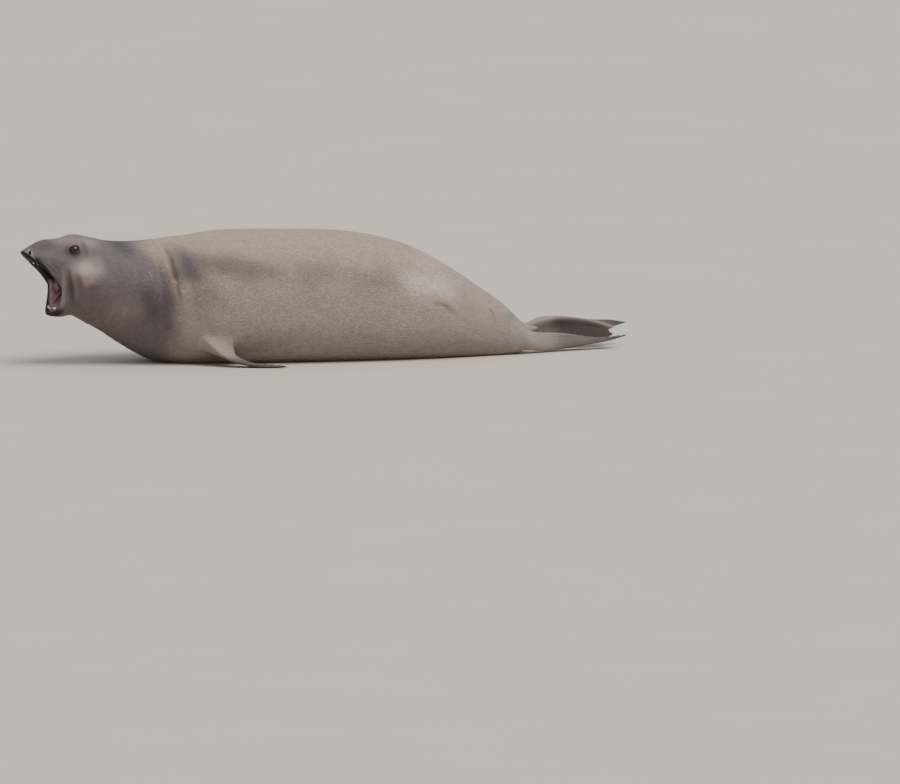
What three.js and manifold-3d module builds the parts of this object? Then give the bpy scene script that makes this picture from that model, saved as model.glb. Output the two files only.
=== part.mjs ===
// An adult female elephant seal lying on its belly, its head lifted and turned a little to its left with
// the mouth wide open. Millimetres, +Z up, the nose towards -X. The origin is on the floor, under the
// thickest part of the trunk, on the flat that the belly rests on.
import * as THREE from "three";
import { mergeVertices } from "three/addons/utils/BufferGeometryUtils.js";
import Module from "manifold-3d";

const wasm = await Module();
wasm.setup();

// Driving dimensions. Forward runs from the origin towards the nose along the straightened spine.
const neckBend = { from: 620, to: 1050, angle: THREE.MathUtils.degToRad(15) };
const eye = { radius: 27, forward: 1159, side: 71, height: 580 };
const nostril = { forward: 1388, side: 36, height: 574, size: [9, 4, 12] };
const canine = {
  radius: 7,
  upper: { length: 12, forward: 1338, side: 28, height: 523, lean: [0.25, 0, -0.97] },
  lower: { length: 31, forward: 1241, side: 36, height: 284, lean: [0.85, 0, 0.53] },
};
const peg = { radius: 3.2, length: 7, loop: 27.6, turns: [2.95, 2.15] };
const tongue = {
  spine: [[1150, 380], [1190, 372], [1226, 346], [1244, 316]], // forward and height
  halfWidth: 33,
  halfHeight: 15,
  rings: 6,
  columns: 12,
};
const nail = { radius: 5, length: 36 };
const gap = 0.5; // between neighbouring solids
const cuts = { tail: -1192, neck: 640, head: 1052 };
const outside = { tail: -1500, nose: 1700, neck: 2200 }; // places clear of the whole animal, for the cuts
const jawHinge = { forward: 1238, height: 394, slope: 0.75 };
const columns = 36; // facets round the body
const rowsPerLoop = { trunk: 1.5, head: 2.25 };
const firstHeadLoop = 18;

// The loops of the skin in order from the tail to the gullet, before the neck is bent. Each has the forward
// place and height of its crown, of its side with the half width, and of its keel. above and below shape
// the two halves: the powers of the width, of the rise, and of the way forward from the side.
const round = [0.87, 0.87, 1];
const full = [1, 1, 1];
const jaw = [0.9, 0.9, 1.5];
const chin = [0.8, 0.8, 2];
const lips = [0.8, 0.8, 2.4];
const loops = [
  { crown: [-1268, 121], side: [-1268, 118, 1], keel: [-1268, 115], above: full, below: full }, // tail tip
  { crown: [-1258, 130], side: [-1260, 118, 13], keel: [-1256, 106], above: full, below: full },
  { crown: [-1228, 140], side: [-1230, 112, 22], keel: [-1226, 84], above: full, below: full }, // tail
  { crown: [-1198, 153], side: [-1204, 96, 44], keel: [-1196, 40], above: full, below: full }, // tail root
  { crown: [-1174, 168], side: [-1184, 84, 112], keel: [-1170, 2], above: round, below: round }, // ankles
  { crown: [-1130, 212], side: [-1140, 92, 132], keel: [-1130, -12], above: round, below: round },
  { crown: [-1060, 273], side: [-1062, 108, 155], keel: [-1060, -20], above: round, below: round }, // rump
  { crown: [-960, 344], side: [-960, 130, 194], keel: [-960, -26], above: round, below: round },
  { crown: [-840, 424], side: [-840, 158, 240], keel: [-840, -30], above: round, below: round },
  { crown: [-690, 516], side: [-690, 188, 286], keel: [-690, -34], above: round, below: round }, // loins
  { crown: [-510, 590], side: [-510, 216, 323], keel: [-510, -36], above: round, below: round },
  { crown: [-300, 632], side: [-300, 236, 345], keel: [-300, -38], above: round, below: round }, // belly
  { crown: [-60, 648], side: [-60, 246, 352], keel: [-60, -38], above: round, below: round },
  { crown: [180, 654], side: [180, 250, 343], keel: [180, -36], above: round, below: round },
  { crown: [390, 650], side: [390, 254, 323], keel: [390, -32], above: round, below: round }, // chest
  { crown: [560, 630], side: [560, 262, 299], keel: [560, -22], above: round, below: round },
  { crown: [690, 616], side: [690, 284, 276], keel: [690, -4], above: full, below: full }, // neck base
  { crown: [790, 609], side: [790, 322, 257], keel: [790, 40], above: full, below: full },
  { crown: [885, 611], side: [880, 354, 239], keel: [885, 98], above: full, below: full }, // neck
  { crown: [975, 622], side: [965, 378, 215], keel: [975, 158], above: full, below: full },
  { crown: [1065, 645], side: [1055, 398, 187], keel: [1065, 206], above: [1.1, 1.2, 1], below: full },
  { crown: [1145, 658], side: [1125, 405, 161], keel: [1145, 246], above: [1.2, 1.5, 1], below: [1, 1, 1.2] },
  { crown: [1228, 641], side: [1178, 402, 134], keel: [1212, 243], above: [1.2, 1.4, 1], below: jaw },
  { crown: [1305, 636], side: [1212, 398, 111], keel: [1250, 246], above: [0.95, 1.2, 1], below: chin },
  { crown: [1376, 608], side: [1227, 396, 97], keel: [1268, 251], above: [0.85, 1.5, 1], below: lips },
  { crown: [1413, 582], side: [1235, 395, 88], keel: [1276, 259], above: [0.75, 2.1, 1.2], below: lips },
  { crown: [1405, 556], side: [1237, 394, 81], keel: [1271, 270], above: [0.68, 2.7, 1.5], below: lips },
  { crown: [1386, 543], side: [1230, 394, 74], keel: [1251, 275], above: [0.7, 2.6, 1.5], below: lips },
  { crown: [1300, 505], side: [1205, 394, 58], keel: [1226, 297], above: [1, 1.6, 1], below: full },
  { crown: [1205, 460], side: [1165, 396, 42], keel: [1184, 346], above: full, below: full }, // palate
  { crown: [1130, 412], side: [1128, 405, 4], keel: [1128, 398], above: full, below: full }, // gullet
];

// Swellings of the face on both sides: the skin near at moves by push, less and less out to spread.
const swellings = [
  { at: [1404, 22, 566], spread: 24, push: [3, 7, 2] }, // nose
  { at: [1322, 54, 522], spread: 50, push: [2, 12, -2] }, // whisker pads
  { at: [1160, 92, 588], spread: 34, push: [1, 6, 4] }, // eyelids
  { at: [1110, 168, 440], spread: 80, push: [0, 9, 0] }, // cheeks
];

const smoothLine = (points) => new THREE.CatmullRomCurve3(points, false, "catmullrom", 0.5);
const crownLine = smoothLine(loops.map((l) => new THREE.Vector3(l.crown[0], 0, l.crown[1])));
const sideLine = smoothLine(loops.map((l) => new THREE.Vector3(l.side[0], l.side[2], l.side[1])));
const keelLine = smoothLine(loops.map((l) => new THREE.Vector3(l.keel[0], 0, l.keel[1])));
const aboveLine = smoothLine(loops.map((l) => new THREE.Vector3(...l.above)));
const belowLine = smoothLine(loops.map((l) => new THREE.Vector3(...l.below)));
const lastLoop = loops.length - 1;

// Turns the head and neck to the animal's left. A point ahead of the bend swings with the whole head.
function bend(p) {
  const span = neckBend.to - neckBend.from;
  const t = THREE.MathUtils.clamp((-p.x - neckBend.from) / span, 0, 1);
  const turned = neckBend.angle * (3 * t ** 2 - 2 * t ** 3);
  const swept = span * neckBend.angle * (t ** 3 - t ** 4 / 2);
  const shortened = (span * neckBend.angle ** 2 * (1.8 * t ** 5 - 2 * t ** 6 + (4 / 7) * t ** 7)) / 2;
  const beyond = -p.x - neckBend.from - t * span;
  const spineX = shortened - neckBend.from - t * span - beyond * Math.cos(turned);
  const spineY = -swept - beyond * Math.sin(turned);
  return new THREE.Vector3(spineX - p.y * Math.sin(turned), spineY + p.y * Math.cos(turned), p.z);
}

// A point of the straightened body as a vector: forward, to the animal's left, and up from the floor.
const place = (forward, left, height) => new THREE.Vector3(-forward, -left, height);

// A point of the straightened skin: loop counts from the tail and turn is the angle from the crown, to the
// animal's left side, in radians.
function straightPoint(loop, turn) {
  const [c, s] = [Math.cos(turn), Math.sin(turn)];
  const [endLine, formLine] = c > 0 ? [crownLine, aboveLine] : [keelLine, belowLine];
  const [side, end, form] = [sideLine, endLine, formLine].map((l) => l.getPoint(loop / lastLoop));
  const rise = Math.abs(c) ** form.y;
  const forward = side.x + (end.x - side.x) * rise ** form.z;
  const left = side.y * Math.sign(s) * Math.abs(s) ** form.x;
  const point = place(forward, left, side.z + (end.z - side.z) * rise);
  for (const { at, spread, push } of swellings)
    for (const hand of [1, -1]) {
      const near = Math.exp(-((point.distanceTo(place(at[0], hand * at[1], at[2])) / spread) ** 2));
      point.addScaledVector(place(push[0], hand * push[1], push[2]), near);
    }
  point.z = Math.max(point.z, 0);
  return point;
}

const skinPoint = (loop, turn) => bend(straightPoint(loop, turn));

// Closed rings of points joined into one skin. An end is zipped shut across the ring, its first point
// against its last.
function closedRings(rings) {
  const count = rings[0].length;
  const faces = [];
  const quad = (a, b, c, d) => faces.push(a, b, c, a, c, d);
  for (let r = 0; r < rings.length - 1; r++)
    for (let i = 0; i < count; i++) {
      const next = (i + 1) % count;
      quad(r * count + i, r * count + next, (r + 1) * count + next, (r + 1) * count + i);
    }
  const last = (rings.length - 1) * count;
  for (let i = 0; i < count / 2 - 1; i++) {
    const [j, k] = [count - 1 - i, count - 2 - i];
    quad(i, j, k, i + 1);
    quad(last + i, last + i + 1, last + k, last + j);
  }
  const made = new THREE.BufferGeometry().setFromPoints(rings.flat());
  made.setIndex(faces);
  return made;
}

// A three.js geometry as a manifold-3d solid, turned to face outwards.
function solid(geometry) {
  const bare = geometry.clone();
  bare.deleteAttribute("normal");
  bare.deleteAttribute("uv");
  const merged = mergeVertices(bare, 1e-3);
  const triVerts = new Uint32Array(merged.index.array);
  const vertProperties = merged.attributes.position.array;
  const build = () => new wasm.Manifold(new wasm.Mesh({ numProp: 3, vertProperties, triVerts }));
  const made = build();
  if (made.volume() > 0) return made;
  triVerts.reverse();
  return build();
}

function geometryOf(made) {
  const { vertProperties, triVerts } = made.getMesh();
  const geometry = new THREE.BufferGeometry();
  geometry.setAttribute("position", new THREE.BufferAttribute(new Float32Array(vertProperties), 3));
  geometry.setIndex(new THREE.BufferAttribute(new Uint32Array(triVerts), 1));
  return geometry;
}

function bodySkin() {
  const stations = [];
  for (let loop = 0; loop < firstHeadLoop; loop += 1 / rowsPerLoop.trunk) stations.push(loop);
  for (let loop = firstHeadLoop; loop < lastLoop; loop += 1 / rowsPerLoop.head) stations.push(loop);
  stations.push(lastLoop);
  const turns = Array.from({ length: columns }, (_, i) => (2 * Math.PI * (i + 0.5)) / columns);
  return closedRings(stations.map((loop) => turns.map((turn) => skinPoint(loop, turn))));
}

// A box across the whole body between two forward places, bent with the head where it is ahead of the neck.
function slab(from, to, moved = new THREE.Matrix4()) {
  const box = new THREE.BoxGeometry(to - from - gap, 1500, 2000).translate(-(from + to) / 2, 0, 0);
  return solid(box.applyMatrix4(moved));
}

// Moves things from beside the straightened head to beside the turned one.
function headFrame() {
  const from = place(neckBend.to, 0, 0);
  const turn = new THREE.Matrix4().makeRotationZ(neckBend.angle);
  const there = bend(from);
  const back = new THREE.Matrix4().makeTranslation(-from.x, -from.y, 0);
  return new THREE.Matrix4().makeTranslation(there.x, there.y, 0).multiply(turn).multiply(back);
}

// The space below the mouth and ahead of a slant from its corners down to the throat, across the head.
function jawSpace(clearance) {
  const { forward, height, slope } = jawHinge;
  const reach = 700;
  const outline = new THREE.Shape([
    new THREE.Vector2(-forward, height),
    new THREE.Vector2(-forward - reach, height),
    new THREE.Vector2(-forward - reach, height - reach),
    new THREE.Vector2(-forward + reach * slope, height - reach),
  ]);
  const block = new THREE.ExtrudeGeometry(outline, { depth: 800, bevelEnabled: false });
  block.translate(clearance, clearance, -400).rotateX(Math.PI / 2);
  return solid(block.applyMatrix4(headFrame()));
}

function ball([x, y, z], centre) {
  const sphere = new THREE.SphereGeometry(1, 14, 9).scale(x, y, z);
  sphere.translate(centre.x, centre.y, centre.z);
  return solid(sphere.applyMatrix4(headFrame()));
}

const eyeCentre = (hand) => place(eye.forward, hand * eye.side, eye.height);
const eyeball = (hand, radius) => ball([radius, radius, radius], eyeCentre(hand));

function nostrilHollow(hand) {
  return ball(nostril.size, place(nostril.forward, hand * nostril.side, nostril.height));
}

// A tapered pin that stands in a surface, its foot sunk in, along a direction.
function pin(foot, direction, radius, length) {
  const cone = new THREE.CylinderGeometry(radius * 0.2, radius, length, 6, 1);
  cone.translate(0, length * 0.2, 0);
  cone.applyQuaternion(new THREE.Quaternion().setFromUnitVectors(new THREE.Vector3(0, 1, 0), direction));
  return cone.translate(foot.x, foot.y, foot.z);
}

function canines({ length, forward, side, height, lean }) {
  const direction = place(...lean).normalize();
  const foot = (hand) => place(forward, hand * side, height);
  const tooth = (hand) => pin(foot(hand), direction, canine.radius, length);
  return [1, -1].map((hand) => solid(tooth(hand).applyMatrix4(headFrame())));
}

// Small teeth square to the lining of the mouth, in pairs at turns either side of the middle.
function pegs(turns) {
  const step = 0.01;
  return turns.flatMap((turn) => [turn, -turn]).map((turn) => {
    const foot = skinPoint(peg.loop, turn);
    const along = skinPoint(peg.loop + step, turn).sub(foot);
    const aside = skinPoint(peg.loop, turn + step).sub(foot);
    return solid(pin(foot, along.cross(aside).normalize(), peg.radius, peg.length));
  });
}

function tongueShape() {
  const spine = smoothLine(tongue.spine.map(([forward, height]) => place(forward, 0, height)));
  const rings = [];
  for (let i = 0; i <= tongue.rings; i++) {
    const t = i / tongue.rings;
    const centre = spine.getPoint(t);
    const up = new THREE.Vector3(0, -1, 0).cross(spine.getTangent(t));
    const size = Math.sqrt(1 - (2 * t - 1) ** 6 * 0.97);
    const ring = [];
    for (let j = 0; j < tongue.columns; j++) {
      const turn = (2 * Math.PI * (j + 0.5)) / tongue.columns;
      const half = tongue.halfWidth * size * (1 - 0.35 * t);
      const aside = new THREE.Vector3(0, half * Math.sin(turn), 0);
      ring.push(centre.clone().add(aside).addScaledVector(up, tongue.halfHeight * size * Math.cos(turn)));
    }
    rings.push(ring);
  }
  return solid(closedRings(rings).applyMatrix4(headFrame()));
}

// A flipper is a fan of five digits, each a curve from the body to its tip, with web between them. thick
// gives its half thickness at the root, in the middle and at the edge.
function flipper({ digits, thick, web }) {
  const rays = digits.map((points) => smoothLine(points.map((p) => new THREE.Vector3(...p))));
  const across = 8;
  const along = 9;
  const sheet = (t, s) => {
    const between = Math.sin(4 * Math.PI * s) ** 2;
    const reach = t * (1 - web * between * t);
    return smoothLine(rays.map((ray) => ray.getPoint(reach))).getPoint(s);
  };
  const rings = [];
  for (let i = 0; i <= along; i++) {
    const t = i / along;
    const faces = [[], []];
    for (let j = 0; j <= across; j++) {
      const s = THREE.MathUtils.clamp(j / across, 0.001, 0.999);
      const step = 0.01;
      const [ta, sa] = [Math.min(t, 1 - step), Math.min(s, 1 - step)];
      const alongStep = sheet(ta + step, sa).sub(sheet(ta, sa));
      const normal = alongStep.cross(sheet(ta, sa + step).sub(sheet(ta, sa))).normalize();
      const half = THREE.MathUtils.lerp(thick[1], thick[0], (1 - t) ** 3) * (1 - 0.35 * t);
      const fullness = Math.sqrt(1 - Math.abs(2 * s - 1) ** 4) * (1 - 0.6 * t ** 4);
      const height = thick[2] + (half - thick[2]) * fullness;
      for (const side of [0, 1]) {
        const point = sheet(t, s).addScaledVector(normal, side ? height : -height);
        point.z = Math.max(point.z, 0);
        faces[side].push(point);
      }
    }
    rings.push([...faces[0], ...faces[1].reverse()]);
  }
  return solid(closedRings(rings));
}

// The hind flippers trail behind, the left one on its edge and twisted flat towards the tip, the right one
// with its sole to the left and its upper lobe spread away.
const hindLeft = {
  digits: [
    [[1110, -84, 14], [1215, -74, 9], [1385, -12, 14], [1540, 28, 31], [1647, 55, 44], [1750, 98, 65]],
    [[1110, -80, 38], [1215, -68, 32], [1385, 4, 34], [1520, 44, 40], [1620, 72, 47], [1712, 104, 59]],
    [[1110, -74, 64], [1215, -60, 56], [1385, 20, 53], [1505, 60, 50], [1600, 88, 48], [1672, 110, 52]],
    [[1110, -64, 90], [1215, -52, 80], [1385, 32, 72], [1505, 76, 60], [1600, 100, 49], [1668, 116, 50]],
    [[1110, -54, 110], [1215, -42, 102], [1385, 40, 87], [1500, 82, 66], [1606, 107, 47], [1692, 120, 53]],
  ],
  thick: [36, 10, 2.5],
  web: 0.03,
};
const hindRight = {
  digits: [
    [[1110, 60, 14], [1220, 84, 9], [1390, 124, 8], [1500, 136, 16], [1590, 140, 33], [1655, 142, 50]],
    [[1110, 62, 48], [1220, 84, 50], [1390, 134, 54], [1500, 146, 56], [1600, 150, 60], [1690, 152, 64]],
    [[1110, 60, 84], [1221, 80, 92], [1385, 142, 106], [1500, 152, 106], [1592, 158, 98], [1672, 164, 82]],
    [[1110, 56, 110], [1222, 70, 132], [1370, 130, 152], [1490, 154, 146], [1600, 168, 124], [1692, 186, 92]],
    [[1110, 50, 124], [1225, 72, 150], [1360, 175, 150], [1500, 236, 122], [1680, 268, 124], [1786, 290, 108]],
  ],
  thick: [36, 9, 2.5],
  web: 0.015,
};
const foreLeft = {
  digits: [
    [[-520, -215, 150], [-470, -318, 92], [-370, -392, 34], [-240, -438, 9], [-118, -462, 6]],
    [[-490, -220, 140], [-440, -312, 82], [-350, -375, 32], [-240, -414, 9], [-132, -432, 6]],
    [[-460, -225, 130], [-412, -306, 74], [-335, -358, 30], [-245, -388, 9], [-158, -404, 6]],
    [[-430, -230, 120], [-386, -300, 66], [-322, -342, 28], [-250, -364, 9], [-190, -376, 6]],
    [[-400, -235, 108], [-362, -294, 58], [-310, -326, 25], [-258, -340, 9], [-222, -350, 6]],
  ],
  thick: [38, 11, 3],
  web: 0.06,
};

function mirrored(shape) {
  const digits = shape.digits.map((points) => points.map(([x, y, z]) => [x, -y, z]));
  return { ...shape, digits };
}

// The nails stand out of the upper face at the ends of the digits.
function nails({ digits }) {
  return digits.map((points) => {
    const [before, tip] = points.slice(-2).map((p) => new THREE.Vector3(...p));
    const direction = tip.clone().sub(before).normalize();
    const foot = tip.clone().addScaledVector(direction, -12);
    return solid(pin(foot, direction, nail.radius, nail.length));
  });
}

// What is left of a solid outside others, drawn back from them by the gap.
function clearOf(made, others, away) {
  const left = others.reduce((rest, other) => rest.subtract(other), made);
  const [x, y, z] = away.normalize().multiplyScalar(gap * 1.3).toArray();
  const parts = left.decompose().sort((a, b) => b.volume() - a.volume());
  return parts[0].translate([x, y, z]);
}

const fur = { color: 0x8d8178, roughness: 0.85 };
const bare = { color: 0x4f4744, roughness: 0.6 };
const moist = { color: 0x94605f, roughness: 0.4 };
const wet = { color: 0x15110f, roughness: 0.1 };

const seal = new THREE.Group();

function add(name, made, look) {
  const mesh = new THREE.Mesh(geometryOf(made), new THREE.MeshStandardMaterial(look));
  mesh.name = name;
  seal.add(mesh);
}

const whole = solid(bodySkin());
const trunk = whole.intersect(slab(cuts.tail, cuts.neck));
const ahead = slab(cuts.head, outside.nose, headFrame());
const pastTrunk = whole.intersect(slab(cuts.neck, outside.neck));
const neck = pastTrunk.subtract(slab(cuts.head - gap, outside.nose, headFrame()));
const face = whole.intersect(ahead);
const sockets = [1, -1].map((hand) => eyeball(hand, eye.radius + gap));
const hollows = [...sockets, nostrilHollow(1), nostrilHollow(-1)];
const head = hollows.reduce((rest, hollow) => rest.subtract(hollow), face.subtract(jawSpace(gap)));
const jawFlesh = face.intersect(jawSpace(0));

const lowerTeeth = [...canines(canine.lower), ...pegs(peg.turns)];
const tongueMove = new THREE.Vector3(-0.8, -0.2, 0.5);
add("head", wasm.Manifold.union([head, ...canines(canine.upper)]), fur);
add("lower_jaw", wasm.Manifold.union([jawFlesh, ...lowerTeeth]), fur);
add("tongue", clearOf(tongueShape(), [face], tongueMove), moist);
add("neck", neck, fur);
add("trunk", trunk, fur);
add("tail", whole.intersect(slab(outside.tail, cuts.tail)), fur);
add("eye_left", eyeball(1, eye.radius), wet);
add("eye_right", eyeball(-1, eye.radius), wet);
for (const [name, shape, y] of [["left", foreLeft, -1], ["right", mirrored(foreLeft), 1]]) {
  const made = wasm.Manifold.union([flipper(shape), ...nails(shape)]);
  add(`fore_flipper_${name}`, clearOf(made, [trunk, neck], new THREE.Vector3(0.3, y, 0)), bare);
}
for (const [name, shape, y] of [["left", hindLeft, -0.3], ["right", hindRight, 0.3]])
  add(`hind_flipper_${name}`, clearOf(flipper(shape), [whole], new THREE.Vector3(1, y, 0)), bare);

export default seal;
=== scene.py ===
import math

import bpy
import numpy as np
from mathutils import Matrix


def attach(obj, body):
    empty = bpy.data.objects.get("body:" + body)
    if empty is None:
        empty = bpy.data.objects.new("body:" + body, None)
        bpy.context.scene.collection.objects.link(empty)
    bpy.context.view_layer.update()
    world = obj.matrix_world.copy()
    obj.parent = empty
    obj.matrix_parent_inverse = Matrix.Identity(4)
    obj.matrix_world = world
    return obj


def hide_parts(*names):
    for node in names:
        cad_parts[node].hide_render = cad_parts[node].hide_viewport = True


# Elephant seal cow on her belly, mouth wide open. The shape is worked out in millimetres on a straightened
# body: forward from the origin to the nose, left, and height. turnHead() bends the neck and gives metres

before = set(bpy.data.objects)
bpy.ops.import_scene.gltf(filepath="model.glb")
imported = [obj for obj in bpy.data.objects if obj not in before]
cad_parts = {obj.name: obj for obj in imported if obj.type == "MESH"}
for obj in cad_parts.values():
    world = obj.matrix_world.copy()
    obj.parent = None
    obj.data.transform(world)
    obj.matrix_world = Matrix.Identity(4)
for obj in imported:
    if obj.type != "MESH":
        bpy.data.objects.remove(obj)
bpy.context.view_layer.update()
rng = np.random.default_rng(11)
mm = 0.001

# Powers of a loop's section: those of an oval, and those of a fuller one
oval = (1, 1, 1, 1, 1, 1)
full = (.87, .87, 1, .87, .87, 1)
body = {
    "coatDepth": 3.0,  # the skin lies this far inside the solids
    "columns": 208,
    "bendFrom": 620, "bendTo": 1050, "bendAngle": math.radians(15),
    # tail tip to gullet: crown forward, height | side forward, height, half width | keel forward, height |
    # powers of width, rise and way forward for the upper half | the same for the lower half
    "loops": [
        (-1268, 121, -1268, 118, 1, -1268, 115, *oval),
        (-1258, 130, -1260, 118, 13, -1256, 106, *oval),
        (-1228, 140, -1230, 112, 22, -1226, 84, *oval),
        (-1198, 153, -1204, 96, 44, -1196, 40, *oval),
        (-1174, 168, -1184, 84, 112, -1170, 2, *full),
        (-1130, 212, -1140, 92, 132, -1130, -12, *full),
        (-1060, 273, -1062, 108, 155, -1060, -20, *full),
        (-960, 344, -960, 130, 194, -960, -26, *full),
        (-840, 424, -840, 158, 240, -840, -30, *full),
        (-690, 516, -690, 188, 286, -690, -34, *full),
        (-510, 590, -510, 216, 323, -510, -36, *full),
        (-300, 632, -300, 236, 345, -300, -38, *full),
        (-60, 648, -60, 246, 352, -60, -38, *full),
        (180, 654, 180, 250, 343, 180, -36, *full),
        (390, 650, 390, 254, 323, 390, -32, *full),
        (560, 630, 560, 262, 299, 560, -22, *full),
        (690, 616, 690, 284, 276, 690, -4, *oval),
        (790, 609, 790, 322, 257, 790, 40, *oval),
        (885, 611, 880, 354, 239, 885, 98, *oval),
        (975, 622, 965, 378, 215, 975, 158, *oval),
        (1065, 645, 1055, 398, 187, 1065, 206, 1.1, 1.2, 1, 1, 1, 1),
        (1145, 658, 1125, 405, 161, 1145, 246, 1.2, 1.5, 1, 1, 1, 1.2),
        (1228, 641, 1178, 402, 134, 1212, 243, 1.2, 1.4, 1, .9, .9, 1.5),
        (1305, 636, 1212, 398, 111, 1250, 246, .95, 1.2, 1, .8, .8, 2),
        (1376, 608, 1227, 396, 97, 1268, 251, .85, 1.5, 1, .8, .8, 2.4),
        (1413, 582, 1235, 395, 88, 1276, 259, .75, 2.1, 1.2, .8, .8, 2.4),
        (1405, 556, 1237, 394, 81, 1271, 270, .68, 2.7, 1.5, .8, .8, 2.4),
        (1386, 543, 1230, 394, 74, 1251, 275, .7, 2.6, 1.5, .8, .8, 2.4),
        (1300, 505, 1205, 394, 58, 1226, 297, 1, 1.6, 1, 1, 1, 1),
        (1205, 460, 1165, 396, 42, 1184, 346, *oval),
        (1130, 412, 1128, 405, 4, 1128, 398, *oval),
    ],
    # nose, whisker pads, eyelids, cheeks: forward, side, height | reach | push
    "swellings": [
        (1404, 22, 566, 24, 3, 7, 2),
        (1322, 54, 522, 50, 2, 12, -2),
        (1160, 92, 588, 34, 1, 6, 4),
        (1110, 168, 440, 80, 0, 9, 0),
    ],
}
body["loops"] = np.array(body["loops"], float)


def curve(a, b, c, d, f):
    # a smooth curve through four points, at f of the way from b to c
    return 0.5 * (2 * b + (c - a) * f + (2 * a - 5 * b + 4 * c - d) * f**2 + (3 * b - a - 3 * c + d) * f**3)


def throughRows(table, where):
    # a smooth curve through the rows of a table, at row number where; past each end the rows are mirrored
    ends = np.vstack([2 * table[0] - table[1], table, 2 * table[-1] - table[-2]])
    where = np.asarray(where, float)
    i = np.clip(np.floor(where).astype(int), 0, len(table) - 2)
    f = (where - i)[..., None]
    return curve(ends[i], ends[i + 1], ends[i + 2], ends[i + 3], f)


def unit(v):
    return v / np.maximum(np.linalg.norm(v, axis=-1, keepdims=True), 1e-12)


def smooth(x, low, high):
    # nothing up to low, one from high on, and an even ease between them
    t = np.clip((x - low) / (high - low), 0, 1)
    return t * t * (3 - 2 * t)


def bell(x, centre, width):
    return np.exp(-(((x - centre) / width) ** 2))


def fleshAt(loop, turn):
    # each loop falls from its crown and its keel back to its side: the rise is a power of the cosine of the
    # turn, the width a power of its sine, and the way forward a power of the rise
    loop, turn = np.broadcast_arrays(np.asarray(loop, float), np.asarray(turn, float))
    row = throughRows(body["loops"], loop)
    c, s = np.cos(turn), np.sin(turn)
    upper = c > 0
    pick = lambda hi, lo: np.where(upper, row[..., hi], row[..., lo])
    rise = np.abs(c) ** pick(8, 11)
    ahead = row[..., 2] + (pick(0, 5) - row[..., 2]) * rise ** pick(9, 12)
    left = row[..., 4] * np.sign(s) * np.abs(s) ** pick(7, 10)
    point = np.stack([ahead, left, row[..., 3] + (pick(1, 6) - row[..., 3]) * rise], -1)
    for f, l, h, reach, pf, pl, ph in body["swellings"]:
        for hand in (1, -1):
            near = np.exp(-(((point - (f, hand * l, h)) ** 2).sum(-1)) / reach**2)
            point = point + near[..., None] * (pf, hand * pl, ph)
    return point


def toLine(p, line):
    # distance in side view from each point to a line of (forward, height) points, and how far along it is
    best = np.full(p.shape[:-1], 1e9)
    along = np.zeros(p.shape[:-1])
    q = p[..., [0, 2]]
    count = len(line) - 1
    for k in range(count):
        a, b = np.array(line[k], float), np.array(line[k + 1], float)
        t = np.clip(((q - a) @ (b - a)) / ((b - a) @ (b - a)), 0, 1)
        d = np.linalg.norm(q - (a + t[..., None] * (b - a)), axis=-1)
        along = np.where(d < best, (k + t) / count, along)
        best = np.minimum(best, d)
    return best, along


folds = [  # (forward, height) line in side view | half width, depth
    ([(700, 600), (668, 518), (656, 457), (644, 404), (640, 320)], 15, 6),
    ([(748, 600), (738, 510), (726, 410), (712, 300)], 13, 3),
    ([(598, 560), (584, 450), (566, 330), (560, 210)], 20, 3),
    ([(1093, 618), (1088, 585), (1108, 550), (1128, 528)], 10, 2.2),
    ([(1224, 520), (1217, 468), (1206, 393), (1203, 320), (1208, 278)], 8, 5),
    ([(1190, 505), (1178, 440), (1168, 370), (1170, 300)], 12, 2),
    ([(1150, 470), (1128, 400), (1120, 320), (1128, 255)], 13, 2.5),
    ([(1385, 565), (1340, 530), (1290, 492), (1252, 455)], 5, 1.8),
    ([(1372, 582), (1330, 549), (1284, 512), (1246, 480)], 5, 1.6),
    ([(1352, 590), (1318, 566), (1276, 532), (1240, 505)], 5, 1.4),
    ([(1085, 222), (1072, 290), (1080, 350)], 13, 3),
    ([(1020, 185), (1005, 260), (1010, 330)], 16, 3),
    ([(960, 150), (942, 230), (946, 310)], 16, 2.5),
    ([(-1105, 205), (-1122, 120), (-1118, 45)], 15, 3),
    ([(-1150, 175), (-1158, 110), (-1150, 45)], 9, 3),
]
loose = {
    "lip": 0.45, "lipAt": 1.7,  # raised edges of a fold: height over its depth, distance over its half width
    "midline": 12,  # folds stop this far from the middle of the body
    "lumps": 1.1,  # height of the slow unevenness of fat under the skin
    "wrinkles": 0.5, "wrinkleWave": 5.3,  # their height, and their length over two pi
    "neck": (560, 700), "headEnd": (-1130, -1060), "low": (-430, -300), "ankles": (1020, 1100),
}


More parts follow.
